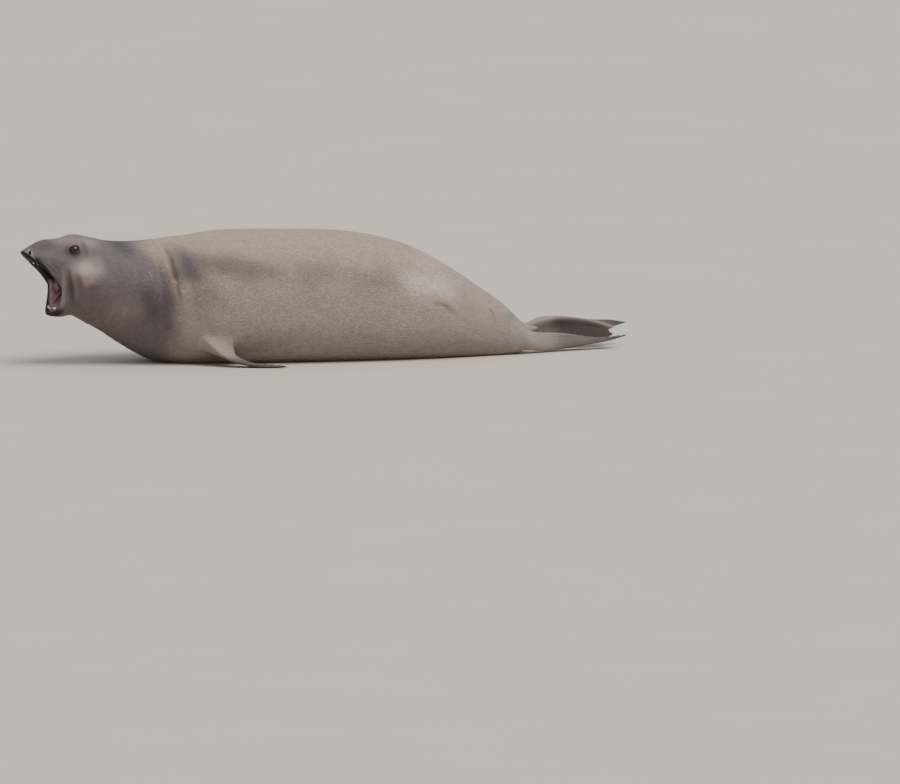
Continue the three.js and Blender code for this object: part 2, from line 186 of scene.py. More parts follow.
def relief(p):
    # how far the skin stands out of the plain flesh: folds are grooves that fade towards their ends
    out = np.zeros(p.shape[:-1])
    for line, width, depth in folds:
        d, along = toLine(p, line)
        fade = np.sin(np.pi * np.clip(along, 0.02, 0.98)) ** 0.7
        groove = bell(d, 0, width) - loose["lip"] * bell(d, loose["lipAt"] * width, width)
        out = out - depth * fade * groove * (np.abs(p[..., 1]) > loose["midline"])
    # the unevenness is a product and a sum of long waves, and loose skin low on the neck and over the
    # ankles wrinkles in short ones whose lines wander
    f, l, h = p[..., 0], p[..., 1], p[..., 2]
    lumps = np.sin(f / 71 + l / 93 + 1.3) * np.sin(h / 58 - l / 120) + 0.6 * np.sin(f / 39 - h / 47 + l / 61)
    out = out + loose["lumps"] * lumps * smooth(-f, -1000, -600) * smooth(h, 20, 120)
    bent = f + 9 * np.sin(h / 43 + l / 70) + 5 * np.sin(h / 19 - l / 31)
    where = smooth(f, *loose["neck"]) * smooth(-f, *loose["headEnd"]) * smooth(-h, *loose["low"])
    where = loose["wrinkles"] * (where + smooth(-f, *loose["ankles"]) * 0.6)
    return out + where * np.sin(bent / loose["wrinkleWave"]) * (0.6 + 0.4 * np.sin(bent / 17 + h / 50))


def skinAt(loop, turn):
    # the flesh, moved along its own normal by the relief and in by the coat, and flat where it lies
    step = 1e-3
    p = fleshAt(loop, turn)
    n = unit(np.cross(fleshAt(loop + step, turn) - p, fleshAt(loop, turn + step) - p))
    p = p + n * (relief(p) - body["coatDepth"])[..., None]
    p[..., 2] = np.maximum(p[..., 2], 0)
    return p


def turnHead(p):
    # the spine is an arc whose angle eases from nothing at bendFrom to the whole turn at bendTo
    span, angle = body["bendTo"] - body["bendFrom"], body["bendAngle"]
    f, l, h = p[..., 0], p[..., 1], p[..., 2]
    t = np.clip((f - body["bendFrom"]) / span, 0, 1)
    turned = angle * (3 * t**2 - 2 * t**3)
    swept = span * angle * (t**3 - t**4 / 2)
    shorter = span * angle**2 * (1.8 * t**5 - 2 * t**6 + 4 / 7 * t**7) / 2
    beyond = f - body["bendFrom"] - t * span
    x = shorter - body["bendFrom"] - t * span - beyond * np.cos(turned) + l * np.sin(turned)
    y = -swept - beyond * np.sin(turned) - l * np.cos(turned)
    return np.stack([x, y, h], -1) * mm


def standAt(loop, turn, step=0.01):
    # a point of the skin and the way straight out of it
    foot, ahead, aside = skinAt(np.array([loop, loop + step, loop]), np.array([turn, turn, turn + step]))
    return foot, unit(np.cross(ahead - foot, aside - foot))


flippers = {
    # five digits from inside the body to their tips, in world millimetres | half thickness at the root, in
    # the middle and at the edge | how far the web falls short | where the flipper leaves the body, and the
    # block of the body's grid that it grows out of | its corner of the coat's unwrap, which face is the
    # sole, where across it the pale rim is, and the tone of its back
    "hindLeft": {
        "digits": [
            [(1110, -84, 14), (1215, -74, 9), (1385, -12, 14),
             (1540, 28, 31), (1647, 55, 44), (1750, 98, 65)],
            [(1110, -80, 38), (1215, -68, 32), (1385, 4, 34),
             (1520, 44, 40), (1620, 72, 47), (1712, 104, 59)],
            [(1110, -74, 64), (1215, -60, 56), (1385, 20, 53),
             (1505, 60, 50), (1600, 88, 48), (1672, 110, 52)],
            [(1110, -64, 90), (1215, -52, 80), (1385, 32, 72),
             (1505, 76, 60), (1600, 100, 49), (1668, 116, 50)],
            [(1110, -54, 110), (1215, -42, 102), (1385, 40, 87),
             (1500, 82, 66), (1606, 107, 47), (1692, 120, 53)],
        ],
        "thick": (36, 10, 2.5), "web": 0.03, "start": 0.2, "centre": (-1184, 88, 78), "rows": 5, "cols": 20,
        "corner": 0.0, "sole": -1, "rim": 0.98, "tone": "6a615f",
    },
    "hindRight": {
        "digits": [
            [(1110, 60, 14), (1220, 84, 9), (1390, 124, 8),
             (1500, 136, 16), (1590, 140, 33), (1655, 142, 50)],
            [(1110, 62, 48), (1220, 84, 50), (1390, 134, 54),
             (1500, 146, 56), (1600, 150, 60), (1690, 152, 64)],
            [(1110, 60, 84), (1221, 80, 92), (1385, 142, 106),
             (1500, 152, 106), (1592, 158, 98), (1672, 164, 82)],
            [(1110, 56, 110), (1222, 70, 132), (1370, 130, 152),
             (1490, 154, 146), (1600, 168, 124), (1692, 186, 92)],
            [(1110, 50, 124), (1225, 72, 150), (1360, 175, 150),
             (1500, 236, 122), (1680, 268, 124), (1786, 290, 108)],
        ],
        "thick": (36, 9, 2.5), "web": 0.015, "start": 0.2, "centre": (-1184, -88, 78), "rows": 5, "cols": 20,
        "corner": 0.25, "sole": 1, "rim": 0.77, "tone": "554b48",
    },
    "foreLeft": {
        "digits": [
            [(-520, -215, 150), (-470, -318, 92), (-370, -392, 34), (-240, -438, 9), (-118, -462, 6)],
            [(-490, -220, 140), (-440, -312, 82), (-350, -375, 32), (-240, -414, 9), (-132, -432, 6)],
            [(-460, -225, 130), (-412, -306, 74), (-335, -358, 30), (-245, -388, 9), (-158, -404, 6)],
            [(-430, -230, 120), (-386, -300, 66), (-322, -342, 28), (-250, -364, 9), (-190, -376, 6)],
            [(-400, -235, 108), (-362, -294, 58), (-310, -326, 25), (-258, -340, 9), (-222, -350, 6)],
        ],
        "thick": (38, 11, 3), "web": 0.06, "start": 0.3, "centre": (446, 292, 110), "rows": 9, "cols": 5,
        "corner": 0.5, "sole": 1, "rim": 0.98, "tone": "5f5755",
    },
}
otherSide = [[(x, -y, z) for x, y, z in digit] for digit in flippers["foreLeft"]["digits"]]
flippers["foreRight"] = {
    **flippers["foreLeft"], "digits": otherSide, "centre": (446, -292, 110), "corner": 0.75, "sole": -1,
}
section = {
    "digitRidge": 0.07, "slimTip": 0.35,  # height of the ridge over each digit, and how much thinner tips are
    "blunt": 0.7, "wall": 0.25,  # powers of the section's roundness and of its closing at the edges
    "floorGap": 0.5,
}


def sheetAt(flipper, t, s):
    # the point t of the way along each digit, joined across the digits by a smooth curve at s. The web
    # between two digits ends a little short of them
    t, s = np.broadcast_arrays(np.asarray(t, float), np.asarray(s, float))
    reach = t * (1 - flipper["web"] * np.sin(4 * np.pi * s) ** 2 * t)
    rays = [throughRows(np.array(digit, float), reach * (len(digit) - 1)) for digit in flipper["digits"]]
    rays = np.stack([2 * rays[0] - rays[1], *rays, 2 * rays[-1] - rays[-2]], -2)
    i = np.clip(np.floor(s * 4).astype(int), 0, 3)
    f = (s * 4 - i)[..., None]
    return curve(*(np.take_along_axis(rays, (i + k)[..., None, None], -2)[..., 0, :] for k in range(4)), f)


def flipperAt(flipper, t, q):
    # q goes once round the section, across one face and back over the other. The thickness is a power of the
    # sine of q, with a low ridge over each digit
    t, q = np.broadcast_arrays(np.asarray(t, float), np.asarray(q, float))
    s = np.clip(0.5 - 0.5 * np.cos(2 * np.pi * q), 0.001, 0.999)
    step = 0.004
    ta, sa = np.minimum(t, 1 - step), np.minimum(s, 1 - step)
    here = sheetAt(flipper, ta, sa)
    n = unit(np.cross(sheetAt(flipper, ta + step, sa) - here, sheetAt(flipper, ta, sa + step) - here))
    root, middle, edge = flipper["thick"]
    half = (middle + (root - middle) * (1 - t) ** 3) * (1 - section["slimTip"] * t)
    side = np.sin(2 * np.pi * q)
    ridge = 1 + section["digitRidge"] * np.cos(8 * np.pi * s) * smooth(t, 0.25, 0.5)
    rise = np.abs(side) ** section["blunt"] * ridge * (1 - 0.6 * t**4)
    high = (edge + (half - edge) * rise) * np.abs(side) ** section["wall"]
    p = sheetAt(flipper, t, s) + n * (high * np.sign(side))[..., None]
    p[..., 2] = np.maximum(p[..., 2], section["floorGap"])
    return p * mm


def linear(hexText):
    # sRGB as text to linear colour
    c = np.array([int(hexText[i:i + 2], 16) for i in (0, 2, 4)]) / 255
    return np.where(c <= 0.04045, c / 12.92, ((c + 0.055) / 1.055) ** 2.4)


def mix(a, b, w):
    return a + (b - a) * np.asarray(w, float)[..., None]


# Colours as patches on a blend of back, flank, belly, neck and face
markings = {
    # The back is lighter and the belly darker partly as painted light from above and painted shade
    # underneath, over the hide's own tones
    "back": "ab998c", "flank": "a4958c", "belly": "968983", "neck": "706667", "head": "6e6565",
    # The palate's near black is painted shade inside the mouth
    "palate": "0c090a", "lining": "a1858a", "gum": "3a2f31", "lip": "191414", "chin": "2a2120",
    # The nostril pit's near black is painted shade, and the pale nostril rim is a painted highlight
    "lidRim": "181413", "pit": "0e0b0c", "nostrilRimHighlight": "a59b96", "sole": "5c504d", "flipperRim": "a89b91",
    "toBack": (330, 560), "toBelly": (-210, -40),  # by height, upwards and downwards
    # The neck's dark tone is its own grey-brown with painted shade from the throat in it
    "toNeck": (560, 725), "toHead": (1080, 1200),  # by the way forward
    "farSide": 0.3,  # strength of a patch on the side that isn't its own
    "patches": [  # forward, height | reach forward and up | side, 0 for both | colour, strength
        (1190, 632, 75, 26, 0, "8a7d7b", .9),  # pale forehead and nape
        (1085, 618, 45, 30, 0, "938782", .9),
        (1116, 485, 50, 52, 0, "b7ada1", .95),  # pale cheek, warm below
        (1066, 500, 34, 48, 0, "948a88", .8),
        (1122, 428, 32, 26, 0, "9d867b", .8),
        (1160, 428, 22, 34, 0, "6f5a4f", .85),
        (1100, 398, 40, 16, 0, "6b5450", .6),
        (1163, 582, 36, 22, 0, "2b2826", .75),  # wet hair round and below the eye
        (1185, 575, 42, 26, 0, "45413d", .6),
        (1112, 590, 10, 30, 0, "544d4b", .7),
        (1300, 548, 40, 22, 0, "7c7377", .6),  # whisker pad, darker towards the lip
        (1262, 500, 46, 36, 0, "605858", .75),
        (1335, 545, 40, 14, 0, "5a5252", .7),
        (1300, 608, 55, 26, 0, "564f4e", .8),
        (1345, 606, 40, 22, 0, "625958", .7),
        (895, 605, 85, 48, 0, "474246", .85),
        (940, 285, 90, 60, 0, "897d7c", .75),
        # darker low on the neck: painted shadow of the seal lying beside her
        (800, 330, 70, 80, 0, "50484a", .8),
        (700, 330, 45, 110, 0, "584c4e", .8),
        (560, 485, 105, 80, 1, "565156", .95),  # grey behind the neck fold
        # darker along the near flank below the back: painted shade where the light falls off down her side
        (400, 500, 120, 60, 1, "716562", .85),
        (250, 480, 130, 60, 1, "7c6e67", .8),
        (500, 330, 120, 110, 1, "7d716c", .6),
        (-60, 455, 150, 70, 1, "84766e", .7),
        (-350, 430, 130, 70, 1, "86786f", .65),
        (-655, 372, 120, 72, 1, "ccbfb5", .8),  # pale over the loins
        (-690, 490, 120, 50, 1, "bcaa9f", .7),
        (-840, 400, 80, 50, 0, "b1a39c", .6),
        (-470, 170, 160, 70, 0, "a69890", .6),
        (-1100, 205, 40, 30, 0, "837877", .6),
        (-1120, 90, 80, 60, 0, "a09a99", .8),
    ],
    "streaks": [  # line of forward, height | half width | side, 0 for both | colour, strength
        # a tan painted highlight on the raised front edge of the neck fold, in two pieces
        ([(748, 606), (706, 584), (684, 545), (672, 500), (664, 458)], 10, 0, "a68b77", .85),
        ([(664, 462), (654, 410), (646, 350)], 9, 0, "8f7566", .5),
        # painted shade in the groove of the neck fold
        ([(672, 590), (650, 540), (640, 480), (630, 410), (626, 330)], 12, 0, "5c4d47", .75),
        ([(1240, 500), (1234, 445), (1230, 390), (1232, 330), (1240, 290)], 9, 0, "9a8c85", .85),
        # painted shade behind the corner of the mouth, along the fold there
        ([(1212, 478), (1204, 420), (1199, 370), (1194, 310)], 14, 0, "453a3b", .6),
        # painted shade in the crease below the eye
        ([(1108, 620), (1098, 585), (1112, 553)], 9, 0, "4a4442", .35),
        ([(-668, 292), (-712, 287), (-752, 264), (-790, 229)], 8, 1, "80603f", .85),  # rub marks, sandy
        ([(-975, 250), (-1003, 222), (-1015, 173)], 6, 1, "866546", .8),
        ([(786, 478), (778, 458), (769, 437)], 3, 1, "b8a698", .6),  # old bites beside the neck fold
        ([(650, 434), (636, 420), (625, 406)], 4, 1, "bcae9f", .6),
        ([(613, 398), (608, 380), (604, 358)], 3.5, 1, "c4b7a8", .6),
    ],
}


def markingsAt(p):
    # a blend of the tones of back, flank, belly, neck and head by place, then patches and streaks over it.
    # Every edge wanders slowly, so none is even
    f, l, h = p[..., 0], p[..., 1], p[..., 2]
    tone = {name: linear(text) for name, text in markings.items() if isinstance(text, str)}
    wander = 18 * np.sin(f / 83 + l / 50) + 12 * np.sin(f / 37 - h / 29 + 2) + 9 * np.sin(h / 41 + l / 33)
    trunk = np.broadcast_to(tone["flank"], p.shape)
    # lighter towards the back and darker towards the belly: partly painted light from above and painted shade
    # underneath
    trunk = mix(trunk, tone["back"], smooth(h + wander, *markings["toBack"]))
    trunk = mix(trunk, tone["belly"], smooth(-h + wander, *markings["toBelly"]))
    # the neck's darker tone, partly painted shade from the throat
    behind = f - 0.9 * np.maximum(h - 450, 0)
    out = mix(trunk, tone["neck"], smooth(behind + wander * 0.9, *markings["toNeck"]))
    out = mix(out, tone["head"], smooth(f, *markings["toHead"]))
    for pf, ph, reachF, reachH, side, text, strength in markings["patches"]:
        weak = markings["farSide"]
        here = 1.0 if side == 0 else weak + (1 - weak) * smooth(side * l, -200, -20)
        small = min(reachF, reachH) / 60
        far = ((f + wander * small - pf) / reachF) ** 2 + ((h + wander * small * 0.6 - ph) / reachH) ** 2
        out = mix(out, linear(text), strength * here * np.exp(-(far**1.3)))
    for line, width, side, text, strength in markings["streaks"]:
        here = 1.0 if side == 0 else np.sign(l) == side
        d, along = toLine(p, line)
        fade = np.sin(np.pi * np.clip(along, 0.02, 0.98)) ** 0.5
        out = mix(out, linear(text), strength * here * fade * bell(d, 0, width))
    return out


mouth = {  # where its colours change, by loop, by height and by distance from the middle
    "gumLoop": 26.6, "gumHalf": 0.5, "palateUp": (390, 440),
    "chinLoops": (22.2, 23.2), "chinDown": (-308, -272),
    # the black of the lip reaches higher on the muzzle and the flews as painted shade under the overhanging
    # upper lip
    "muzzleUp": (420, 500), "muzzleShade": 0.5,  # loops by which the black of the lip is wider there
    "flewsOut": (22, 55), "flewsUp": (430, 490), "flewsShade": 0.65,
    "lipLoops": (25.3, 25.8), "insideLoops": (26.0, 26.5), "liningFrom": 26.1,
}


def bodyColour(p, loop):
    # the lips darken to black, and inside them the gums, the pale lining of the cheeks and the palate,
    # painted near black as shade under the upper jaw
    h = p[..., 2]
    lining = np.broadcast_to(linear(markings["lining"]), p.shape)
    inside = mix(lining, linear(markings["gum"]), bell(loop, mouth["gumLoop"], mouth["gumHalf"]))
    inside = mix(inside, linear(markings["palate"]), 0.97 * smooth(h, *mouth["palateUp"]))
    chin = smooth(loop, *mouth["chinLoops"]) * smooth(-h, *mouth["chinDown"])
    out = mix(markingsAt(p), linear(markings["chin"]), 0.92 * chin)
    # over the dark lip skin, a wider black on the muzzle and flews is painted shade under the overhanging
    # upper lip
    flews = smooth(np.abs(p[..., 1]), *mouth["flewsOut"]) * smooth(h, *mouth["flewsUp"])
    margin = loop + mouth["muzzleShade"] * smooth(h, *mouth["muzzleUp"]) + mouth["flewsShade"] * flews
    out = mix(out, linear(markings["lip"]), 0.95 * smooth(margin, *mouth["lipLoops"]))
    return mix(out, inside, smooth(loop, *mouth["insideLoops"]))


# Build the skin
print("skin: body grid")
lastLoop = len(body["loops"]) - 1
rowsPerLoop = [
    (0, 3), (3, 10), (9, 16), (14, 20), (15, 15), (19, 16), (21, 20), (23, 12), (27, 10), (lastLoop, 0),
]
spans = zip(rowsPerLoop, rowsPerLoop[1:])
rowLoops = [np.linspace(a, b, (b - a) * per, endpoint=False) for (a, per), (b, _) in spans]
rowLoops = np.concatenate(rowLoops + [[float(lastLoop)]])
turns = 2 * np.pi * (np.arange(body["columns"]) + 0.5) / body["columns"]
rowCount, colCount = len(rowLoops), len(turns)
loopGrid, turnGrid = np.meshgrid(rowLoops, turns, indexing="ij")
straight = skinAt(loopGrid, turnGrid)
world = turnHead(straight)
gridIndex = np.arange(rowCount * colCount).reshape(rowCount, colCount)
keepQuad = np.ones((rowCount - 1, colCount), bool)

# What every vertex of the skin carries: its place, colour, the way its hair lies, its place on the unwrap,
# the length of its hair in millimetres, and how wet it is
skin = {"place": [], "colour": [], "lie": [], "unwrap": [], "hair": [], "wet": []}
faces = []


def addVertices(place, colour, lie, unwrap=(0.5, 0.5), hair=0.0, wet=0.0):
    first = sum(len(a) for a in skin["place"])
    count = len(place)
    for key, value, width in zip(skin, (place, colour, lie, unwrap, hair, wet), (3, 3, 3, 2, 1, 1)):
        skin[key].append(np.broadcast_to(np.asarray(value, float), (count, width) if width > 1 else (count,)))
    return np.arange(first, first + count)


# Lengths of hair in millimetres, and the height under which the seal lies on it
hair = {"back": 15, "shorterOnFace": 8, "shorterAtTail": 4, "flippers": 9, "lids": 5, "floor": 4}


def hairAt(p):
    # short on the face, longest on the back and neck, none where she lies on the floor
    f, h = p[..., 0], p[..., 2]
    face, tail = smooth(f, 1000, 1150), smooth(-f, 1050, 1200)
    return (hair["back"] - hair["shorterOnFace"] * face - hair["shorterAtTail"] * tail) * (h > hair["floor"])


lengthways = np.r_[0, np.cumsum(np.linalg.norm(np.diff(world.mean(1), axis=0), axis=-1) + 1e-4)]


def unwrapAt(loop, turn):
    # once round the body across the unwrap, and from the tail to the gullet up it
    along = np.interp(loop, rowLoops, lengthways / lengthways[-1])
    return np.stack([0.01 + 0.77 * (turn % (2 * np.pi)) / (2 * np.pi), 0.01 + 0.98 * along], -1)


towardTail = np.concatenate([world[:1] - world[1:2], world[:-1] - world[1:]])
hairGrid = hairAt(straight) * smooth(-loopGrid, -25.9, -25.4) * (loopGrid > 0.5)
addVertices(
    world.reshape(-1, 3), bodyColour(straight, loopGrid).reshape(-1, 3), unit(towardTail).reshape(-1, 3),
    unwrapAt(loopGrid, turnGrid).reshape(-1, 2), hairGrid.ravel(), smooth(loopGrid, 25.6, 26.4).ravel())


def blockEdge(point, rows, cols):
    # takes a block out of the grid round a point and gives its edge, in turn as seen from outside
    r, c = np.unravel_index(np.argmin(((straight - point) ** 2).sum(-1)), straight.shape[:2])
    low, high, left, right = r - rows, r + rows, c - cols, c + cols
    keepQuad[np.ix_(range(low, high), [k % colCount for k in range(left, right)])] = False
    edge = [(k, left) for k in range(low, high)] + [(high, k) for k in range(left, right)]
    edge += [(k, right) for k in range(high, low, -1)] + [(low, k) for k in range(right, left, -1)]
    rowOf, colOf = np.array(edge).T
    return gridIndex[rowOf, colOf % colCount], rowLoops[rowOf], turns[colOf % colCount]


def growRing(outer, *values, **more):
    # a new ring of vertices, joined to the ring outside it
    inner = addVertices(*values, **more)
    faces.append(np.stack([outer, np.roll(outer, -1), np.roll(inner, -1), inner], 1))
    return inner


def closeWith(ring, pole):
    faces.append(np.stack([ring, np.roll(ring, -1), np.full(len(ring), pole[0])], 1))


def openingAt(spot, hand):
    # the tangent plane of the skin at an opening, and the ring of grid vertices that is left round it
    loop, turn = spot["loop"], spot["turn"] * hand
    step = 1e-3
    centre, ahead, aside = skinAt(np.array([loop, loop + step, loop]), np.array([turn, turn, turn + step]))
    slopes = np.stack([ahead - centre, aside - centre], 1) / step
    n = unit(np.cross(slopes[:, 0], slopes[:, 1]))
    ahead = np.array(spot["longWay"]) * (1, hand, 1)
    ahead = unit(ahead - n * (ahead @ n))
    up = np.cross(n, ahead)
    edge, edgeLoop, edgeTurn = blockEdge(centre, spot["rows"], spot["cols"])
    edgeTurn = (edgeTurn - turn + np.pi) % (2 * np.pi) - np.pi + turn
    offset = straight.reshape(-1, 3)[edge] - centre
    angle = np.arctan2(offset @ up, offset @ ahead)
    wide = spot["halfLong"] * np.cos(angle)
    tall = spot["halfTall"] * np.sign(np.sin(angle)) * np.abs(np.sin(angle)) ** spot["pointed"]
    inPlane = ahead * wide[:, None] + up * tall[:, None]
    onSkin = np.array([loop, turn]) + np.linalg.lstsq(slopes, inPlane.T, rcond=None)[0].T
    return centre, n, angle, inPlane, np.stack([edgeLoop, edgeTurn], 1), onSkin, edge


eye = {
    "loop": 21.32, "turn": 0.628, "rows": 9, "cols": 6,
    "depth": 17.0, "radius": 27.0,  # of the ball: its centre lies this deep
    "halfLong": 24.0, "halfTall": 16.5, "pointed": 1.15, "longWay": (1, 0, -0.2),  # opening between the lids
    "lidThick": 2.0, "clear": 0.8, "crease": 1.6, "puff": 1.2, "rings": 15,
    "easeToLid": (0.4, 0.93), "lidEdge": 0.93, "sheetBehind": (0.12, 0.35, 0.65, 0.88),
    "ballRows": 24, "ballCols": 40, "cornea": 1.2, "corneaWide": 0.62, "slack": 0.4,
}
eyeBalls = {}


def eyelids(hand):
    # rings ease from the face to the edge of the lids, which lies on a sphere just clear of the ball, and go
    # on round behind the ball to close the socket
    centre, n, angle, inPlane, start, onSkin, previous = openingAt(eye, hand)
    ball = centre - n * (eye["depth"] - body["coatDepth"])
    eyeBalls[hand] = (ball, n)
    shell = eye["radius"] + eye["clear"]
    rim = ball + inPlane + n * np.sqrt(shell**2 - (inPlane**2).sum(-1))[:, None]
    out = unit(rim - ball)
    for k in range(1, eye["rings"] + 1):
        w = k / eye["rings"]
        where = start + (onSkin - start) * w**0.85
        p = skinAt(*where.T)
        p = mix(p, rim + out * eye["lidThick"], np.full(len(p), smooth(w, *eye["easeToLid"])))
        crease = eye["crease"] * bell(w, 0.55, 0.07) * np.where(np.sin(angle) > -0.3, 1, 0.6)
        p = p - n * crease[:, None] + n * eye["puff"] * bell(w, 0.76, 0.1)
        away = p - ball
        clear = shell + 0.8 * eye["lidThick"]
        p = ball + unit(away) * np.maximum(np.linalg.norm(away, axis=1), clear)[:, None]
        p = p - unit(away) * 0.8 * eye["lidThick"] * float(smooth(w, eye["lidEdge"], 1))
        colour = mix(markingsAt(p), linear(markings["lidRim"]), np.full(len(p), smooth(w, 0.7, 0.96)))
        lie = unit(turnHead(p - (1, 0, 0)) - turnHead(p))
        previous = growRing(previous, turnHead(p), colour, lie, unwrapAt(*where.T),
                            hair["lids"] * (w < 0.75), smooth(w, 0.75, 0.95))
    aside = unit(inPlane)
    polar = np.arccos(np.clip(out @ n, -1, 1))
    dark = linear(markings["lidRim"])
    for k in eye["sheetBehind"]:
        tilt = (polar + (np.pi - polar) * k)[:, None]
        p = ball + (n * np.cos(tilt) + aside * np.sin(tilt)) * shell
        previous = growRing(previous, turnHead(p), dark, (1, 0, 0), wet=1.0)
    closeWith(previous, addVertices(turnHead((ball - n * shell)[None]), dark, (1, 0, 0), wet=1.0))


nostril = {
    "loop": 24.62, "turn": 0.297, "rows": 5, "cols": 7,
    "halfLong": 12.0, "halfTall": 4.6, "pointed": 1.2, "longWay": (-0.15, 0, 1), "rings": 8,
    "rim": 3.2, "tuckedIn": 1.5, "pale": 0.6,
    "pit": [(4, 0.92), (9, 0.85), (15, 0.55)], "bottom": 16,  # depth, and size over the opening's
}


def nostrilPit(hand):
    # a slit with a raised rim, painted pale as a highlight, going in to a narrowing pit painted near black as
    # shade
    centre, n, _, inPlane, start, onSkin, previous = openingAt(nostril, hand)
    for k in range(1, nostril["rings"] + 1):
        w = k / nostril["rings"]
        p = skinAt(*(start + (onSkin - start) * w**0.85).T)
        p = p + n * (nostril["rim"] * bell(w, 0.7, 0.2) - nostril["tuckedIn"] * float(smooth(w, 0.9, 1)))
        pale = nostril["pale"] * bell(w, 0.72, 0.17)
        colour = mix(markingsAt(p), linear(markings["nostrilRimHighlight"]), np.full(len(p), pale))
        colour = mix(colour, linear(markings["pit"]), np.full(len(p), smooth(w, 0.88, 1)))
        lie = unit(turnHead(p - (1, 0, 0)) - turnHead(p))
        previous = growRing(previous, turnHead(p), colour, lie, wet=0.8 * w)
    dark = linear(markings["pit"])
    for sink, size in nostril["pit"]:
        previous = growRing(previous, turnHead(centre + inPlane * size - n * sink), dark, (1, 0, 0), wet=1.0)
    bottom = turnHead((centre - n * nostril["bottom"])[None])
    closeWith(previous, addVertices(bottom, dark, (1, 0, 0), wet=1.0))


for hand in (1, -1):
    eyelids(hand)
    nostrilPit(hand)

print("skin: flippers")
flipperRings = {
    "joining": 5, "count": 34,
    "blend": 0.28,  # part of the length over which the body's colour turns into the flipper's
    "rimHalf": 0.05, "soleAt": (-0.1, 0.3), "shadedEdgeAt": (-0.5, -0.05), "darkTip": 0.3, "bareTip": 0.985,
}


def growFlipper(flipper):
    # rings ease from the edge of a block of the body out into the flipper's own sections, up to its tip
    edge, _, _ = blockEdge(np.array(flipper["centre"], float), flipper["rows"], flipper["cols"])
    at = world.reshape(-1, 3)[edge]
    count = len(edge)
    q = np.arange(count) / count
    apart = lambda k, way: np.roll(at, -k, 0) - flipperAt(flipper, flipper["start"], way * q)
    fits = [(np.linalg.norm(apart(k, way), axis=1).sum(), k, way) for k in range(count) for way in (1, -1)]
    _, k, way = min(fits)
    previous, at, q = np.roll(edge, -k), np.roll(at, -k, 0), way * q
    bodyTone = skin["colour"][0][previous]
    s = 0.5 - 0.5 * np.cos(2 * np.pi * q)
    faceSide = np.sin(2 * np.pi * q) * flipper["sole"]
    tone = np.broadcast_to(linear(flipper["tone"]), (count, 3))
    tone = mix(tone, linear(markings["sole"]), smooth(faceSide, *flipperRings["soleAt"]))
    # the edge along the first digit, the low one of the hind flippers, takes the sole's dark tone as painted
    # shade near the floor
    tone = mix(tone, linear(markings["sole"]), 0.8 * smooth(-s, *flipperRings["shadedEdgeAt"]))
    tone = mix(tone, linear(markings["flipperRim"]), 0.8 * bell(s, flipper["rim"], flipperRings["rimHalf"]))
    for step, t in enumerate(np.linspace(flipper["start"] * 0.85, 1, flipperRings["count"])):
        p = flipperAt(flipper, t, q)
        if step < flipperRings["joining"]:
            p = at + (p - at) * smooth((step + 1) / (flipperRings["joining"] + 1), 0, 1)
        outer = min(t + 0.02, 1.0)
        lie = unit(flipperAt(flipper, outer, q) - flipperAt(flipper, outer - 0.02, q))
        away = np.full(count, smooth(t, flipper["start"], flipper["start"] + flipperRings["blend"]))
        colour = mix(bodyTone, tone * (1 - flipperRings["darkTip"] * smooth(t, 0.5, 1)), away)
        unwrap = np.stack([0.81 + 0.17 * np.abs(2 * np.arange(count) / count - 1),
                           np.full(count, flipper["corner"] + 0.01 + 0.22 * t)], 1)
        length = hair["flippers"] * (p[:, 2] > 0.003) * (t < flipperRings["bareTip"])
        previous = growRing(previous, p, colour, lie, unwrap, length)
    i = np.arange(1, count // 2 - 1)
    faces.append(np.stack([previous[i], previous[i + 1], previous[count - i - 1], previous[count - i]], 1))
    faces.append(previous[[[0, 1, count - 1], [count // 2 - 1, count // 2, count // 2 + 1]]])
    return at.mean(0)


junctions = [growFlipper(flipper) for flipper in flippers.values()]

nextCol = np.roll(gridIndex, -1, 1)
faces.append(np.stack([gridIndex[:-1], gridIndex[1:], nextCol[1:], nextCol[:-1]], -1)[keepQuad])
tailTip = addVertices(world[:1].mean(1), bodyColour(straight[0], loopGrid[0]).mean(0), (1, 0, 0), hair=0)
# The gullet's end takes the palate's near black, painted shade deep in the throat
gullet = addVertices(world[-1:].mean(1), linear(markings["palate"]), (1, 0, 0), wet=1.0)
closeWith(gridIndex[0], tailTip)
closeWith(gridIndex[-1][::-1], gullet)
skin = {key: np.concatenate(value) for key, value in skin.items()}


def easeJunctions(place, reach=0.085, passes=14):
    # every vertex near a flipper's root moves over half way to the middle of its neighbours, several times
    sides = [np.stack([f[:, k], f[:, (k + 1) % f.shape[1]]], 1) for f in faces for k in range(f.shape[1])]
    pairs = np.concatenate(sides)
    pairs = np.concatenate([pairs, pairs[:, ::-1]])
    near = np.max([np.exp(-((np.linalg.norm(place - spot, axis=1) / reach) ** 4)) for spot in junctions], 0)
    pairs = pairs[near[pairs[:, 0]] > 0.02]
    count = np.bincount(pairs[:, 0], minlength=len(place))
    for _ in range(passes):
        middle = np.stack([np.bincount(pairs[:, 0], place[pairs[:, 1], k], len(place)) for k in range(3)], 1)
        middle = middle / np.maximum(count, 1)[:, None]
        place = place + (middle - place) * (0.6 * near * (count > 0))[:, None]
    return place


skin["place"] = easeJunctions(skin["place"])
used = np.unique(np.concatenate([f.ravel() for f in faces]))
renumber = np.full(len(skin["place"]), -1)
renumber[used] = np.arange(len(used))
skin = {key: value[used] for key, value in skin.items()}
faces = [renumber[f] for f in faces]


def addNode(tree, kind, links=(), inputs=(), **settings):
    made = tree.nodes.new("ShaderNode" + kind)
    for name, value in settings.items():
        setattr(made, name, value)
    for socket, value in dict(inputs).items():
        made.inputs[socket].default_value = value
    for socket, source in dict(links).items():
        tree.links.new(source, made.inputs[socket])
    return made


